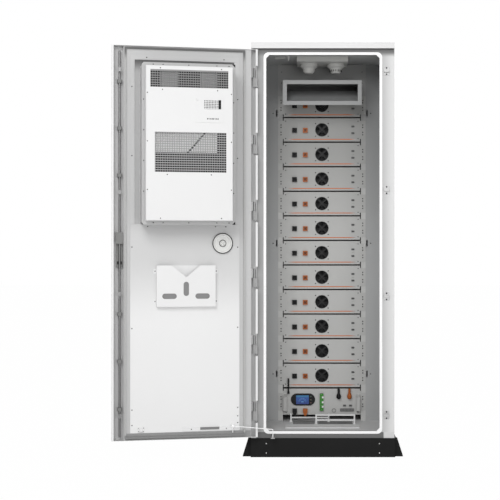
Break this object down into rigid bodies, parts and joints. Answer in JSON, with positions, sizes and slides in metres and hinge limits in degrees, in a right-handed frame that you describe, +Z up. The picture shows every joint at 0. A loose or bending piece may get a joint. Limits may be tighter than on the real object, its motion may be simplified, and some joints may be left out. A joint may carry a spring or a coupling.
{
  "type": "battery cabinet",
  "caption": "Outdoor battery cabinet with rack battery modules, a control box, fire detectors and a wide door carrying an air conditioner and rod lock.",
  "frame": {"origin": "middle of the plinth's underside, at floor level, at the centre of the anchor bolt pattern", "axes": "+X to the right of a person who faces the open front, +Y to the back, +Z up"},
  "size_m": [1.5367, 1.2678, 2.216],
  "materials": {
    "plinth_paint": "satin powder coat",
    "cabinet_paint": "light grey powder coat",
    "rack_paint": "grey powder coat",
    "module_paint": "fine grey powder coat",
    "fan_plastic": "matte black",
    "black_plastic": "matte black",
    "orange_plastic": "matte orange",
    "button_plastic": "matte grey",
    "duct_paint": "grey powder coat",
    "detector_plastic": "off-white",
    "hinge_steel": "zinc plated",
    "lining_paint": "white powder coat",
    "seal_rubber": "foam rubber",
    "valve_plastic": "grey",
    "rod_steel": "zinc plated"
  },
  "bodies": {
    "cabinet": {"plinth_frame": "plinth_paint", "floor_panel": "cabinet_paint", "side_panel_left": "cabinet_paint", "side_panel_right": "cabinet_paint", "rear_panel": "cabinet_paint", "front_frame": "cabinet_paint", "roof_cap": "cabinet_paint", "rack_frame_left": "rack_paint", "rack_frame_right": "rack_paint", "battery_module_01": "module_paint", "battery_module_02": "module_paint", "battery_module_03": "module_paint", "battery_module_04": "module_paint", "battery_module_05": "module_paint", "battery_module_06": "module_paint", "battery_module_07": "module_paint", "battery_module_08": "module_paint", "battery_module_09": "module_paint", "battery_module_10": "module_paint", "battery_module_11": "module_paint", "battery_module_12": "module_paint", "control_box": "module_paint", "fan_guards": "fan_plastic", "connectors_black": "black_plastic", "signal_connectors": "black_plastic", "display_bezel": "black_plastic", "connectors_orange": "orange_plastic", "air_duct": "duct_paint", "fire_detectors": "detector_plastic", "strikes": "hinge_steel", "hinge_leaves_fixed": "hinge_steel"},
    "door": {"hinge_leaves_door": "hinge_steel", "door_shell": "cabinet_paint", "door_lining": "lining_paint", "door_seal": "seal_rubber", "ac_housing": "lining_paint", "ac_cover": "lining_paint", "document_pocket": "lining_paint", "relief_disc": "valve_plastic", "lock_case": "valve_plastic", "door_fittings": "lining_paint"},
    "upper_rod": {"lock_rod_upper": "rod_steel"},
    "lower_rod": {"lock_rod_lower": "rod_steel"},
    "handle": {"swing_handle": "rod_steel"},
    "stay": {"stay_rod": "rod_steel"},
    "fan_01": {"fan_rotor_01": "fan_plastic"},
    "fan_02": {"fan_rotor_02": "fan_plastic"},
    "fan_03": {"fan_rotor_03": "fan_plastic"},
    "fan_04": {"fan_rotor_04": "fan_plastic"},
    "fan_05": {"fan_rotor_05": "fan_plastic"},
    "fan_06": {"fan_rotor_06": "fan_plastic"},
    "fan_07": {"fan_rotor_07": "fan_plastic"},
    "fan_08": {"fan_rotor_08": "fan_plastic"},
    "fan_09": {"fan_rotor_09": "fan_plastic"},
    "fan_10": {"fan_rotor_10": "fan_plastic"},
    "fan_11": {"fan_rotor_11": "fan_plastic"},
    "fan_12": {"fan_rotor_12": "fan_plastic"},
    "button_1": {"display_button_1": "button_plastic"},
    "button_2": {"display_button_2": "button_plastic"},
    "button_3": {"display_button_3": "button_plastic"}
  },
  "joints": [
    {"name": "door_hinge", "type": "hinge", "parent": "cabinet", "child": "door", "pos_m": [-0.367, -0.482, 1.1], "axis": [0, 0, 1], "range_deg": [0, 169]},
    {"name": "stay_swing", "type": "hinge", "parent": "door", "child": "stay", "pos_m": [-0.47584, -0.55409, 0.182], "axis": [0.1908, -0.9816, 0], "range_deg": [0, 180]},
    {"name": "handle_turn", "type": "hinge", "parent": "door", "child": "handle", "pos_m": [-1.06676, -0.59255, 1.171], "axis": [-0.1908, 0.9816, 0], "range_deg": [0, 90]},
    {"name": "upper_rod_slide", "type": "slide", "parent": "door", "child": "upper_rod", "axis": [0, 0, 1], "range_m": [0, 0.015]},
    {"name": "lower_rod_slide", "type": "slide", "parent": "door", "child": "lower_rod", "axis": [0, 0, -1], "range_m": [0, 0.015]},
    {"name": "fan_spin_01", "type": "hinge", "parent": "cabinet", "child": "fan_01", "pos_m": [0, -0.014, 0.3918], "axis": [0, -1, 0], "continuous": true},
    {"name": "fan_spin_02", "type": "hinge", "parent": "cabinet", "child": "fan_02", "pos_m": [0, -0.014, 0.5322], "axis": [0, -1, 0], "continuous": true},
    {"name": "fan_spin_03", "type": "hinge", "parent": "cabinet", "child": "fan_03", "pos_m": [0, -0.014, 0.6726], "axis": [0, -1, 0], "continuous": true},
    {"name": "fan_spin_04", "type": "hinge", "parent": "cabinet", "child": "fan_04", "pos_m": [0, -0.014, 0.813], "axis": [0, -1, 0], "continuous": true},
    {"name": "fan_spin_05", "type": "hinge", "parent": "cabinet", "child": "fan_05", "pos_m": [0, -0.014, 0.9534], "axis": [0, -1, 0], "continuous": true},
    {"name": "fan_spin_06", "type": "hinge", "parent": "cabinet", "child": "fan_06", "pos_m": [0, -0.014, 1.0938], "axis": [0, -1, 0], "continuous": true},
    {"name": "fan_spin_07", "type": "hinge", "parent": "cabinet", "child": "fan_07", "pos_m": [0, -0.014, 1.2342], "axis": [0, -1, 0], "continuous": true},
    {"name": "fan_spin_08", "type": "hinge", "parent": "cabinet", "child": "fan_08", "pos_m": [0, -0.014, 1.3746], "axis": [0, -1, 0], "continuous": true},
    {"name": "fan_spin_09", "type": "hinge", "parent": "cabinet", "child": "fan_09", "pos_m": [0, -0.014, 1.515], "axis": [0, -1, 0], "continuous": true},
    {"name": "fan_spin_10", "type": "hinge", "parent": "cabinet", "child": "fan_10", "pos_m": [0, -0.014, 1.6554], "axis": [0, -1, 0], "continuous": true},
    {"name": "fan_spin_11", "type": "hinge", "parent": "cabinet", "child": "fan_11", "pos_m": [0, -0.014, 1.7958], "axis": [0, -1, 0], "continuous": true},
    {"name": "fan_spin_12", "type": "hinge", "parent": "cabinet", "child": "fan_12", "pos_m": [0, -0.014, 1.9362], "axis": [0, -1, 0], "continuous": true},
    {"name": "button_press_1", "type": "slide", "parent": "cabinet", "child": "button_1", "axis": [0, 1, 0], "range_m": [0, 0.001], "stiffness_N_per_m": 400},
    {"name": "button_press_2", "type": "slide", "parent": "cabinet", "child": "button_2", "axis": [0, 1, 0], "range_m": [0, 0.001], "stiffness_N_per_m": 400},
    {"name": "button_press_3", "type": "slide", "parent": "cabinet", "child": "button_3", "axis": [0, 1, 0], "range_m": [0, 0.001], "stiffness_N_per_m": 400}
  ],
  "couplings": [
    {"joint": "stay_swing", "follows": "door_hinge", "ratio": 1.0651},
    {"joint": "upper_rod_slide", "follows": "handle_turn", "m_per_rad": 0.0095493},
    {"joint": "lower_rod_slide", "follows": "handle_turn", "m_per_rad": 0.0095493}
  ]
}
